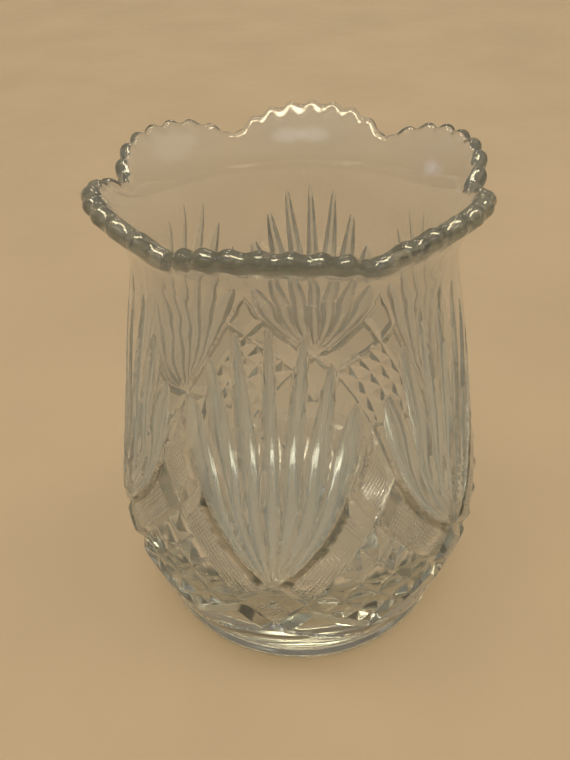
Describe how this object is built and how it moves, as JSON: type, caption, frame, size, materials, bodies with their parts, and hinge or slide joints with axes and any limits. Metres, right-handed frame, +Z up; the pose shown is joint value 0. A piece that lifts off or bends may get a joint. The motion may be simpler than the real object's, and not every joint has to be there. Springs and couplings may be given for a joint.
{
  "type": "cut glass vase",
  "caption": "Clear cut glass vase with a swelling body, a flared scalloped lip, fans of hollow flutes, raised ribbons that cross and fields of pyramids.",
  "frame": {"origin": "centre of the plane that the foot ring stands on", "axes": "+Z up along the vase's axis, -Y out through the middle of one fan"},
  "size_m": [0.1206, 0.1208, 0.15],
  "materials": {
    "clear_glass": "clear lead glass, polished"
  },
  "bodies": {
    "root": {"glass_vase": "clear_glass"}
  },
  "joints": []
}
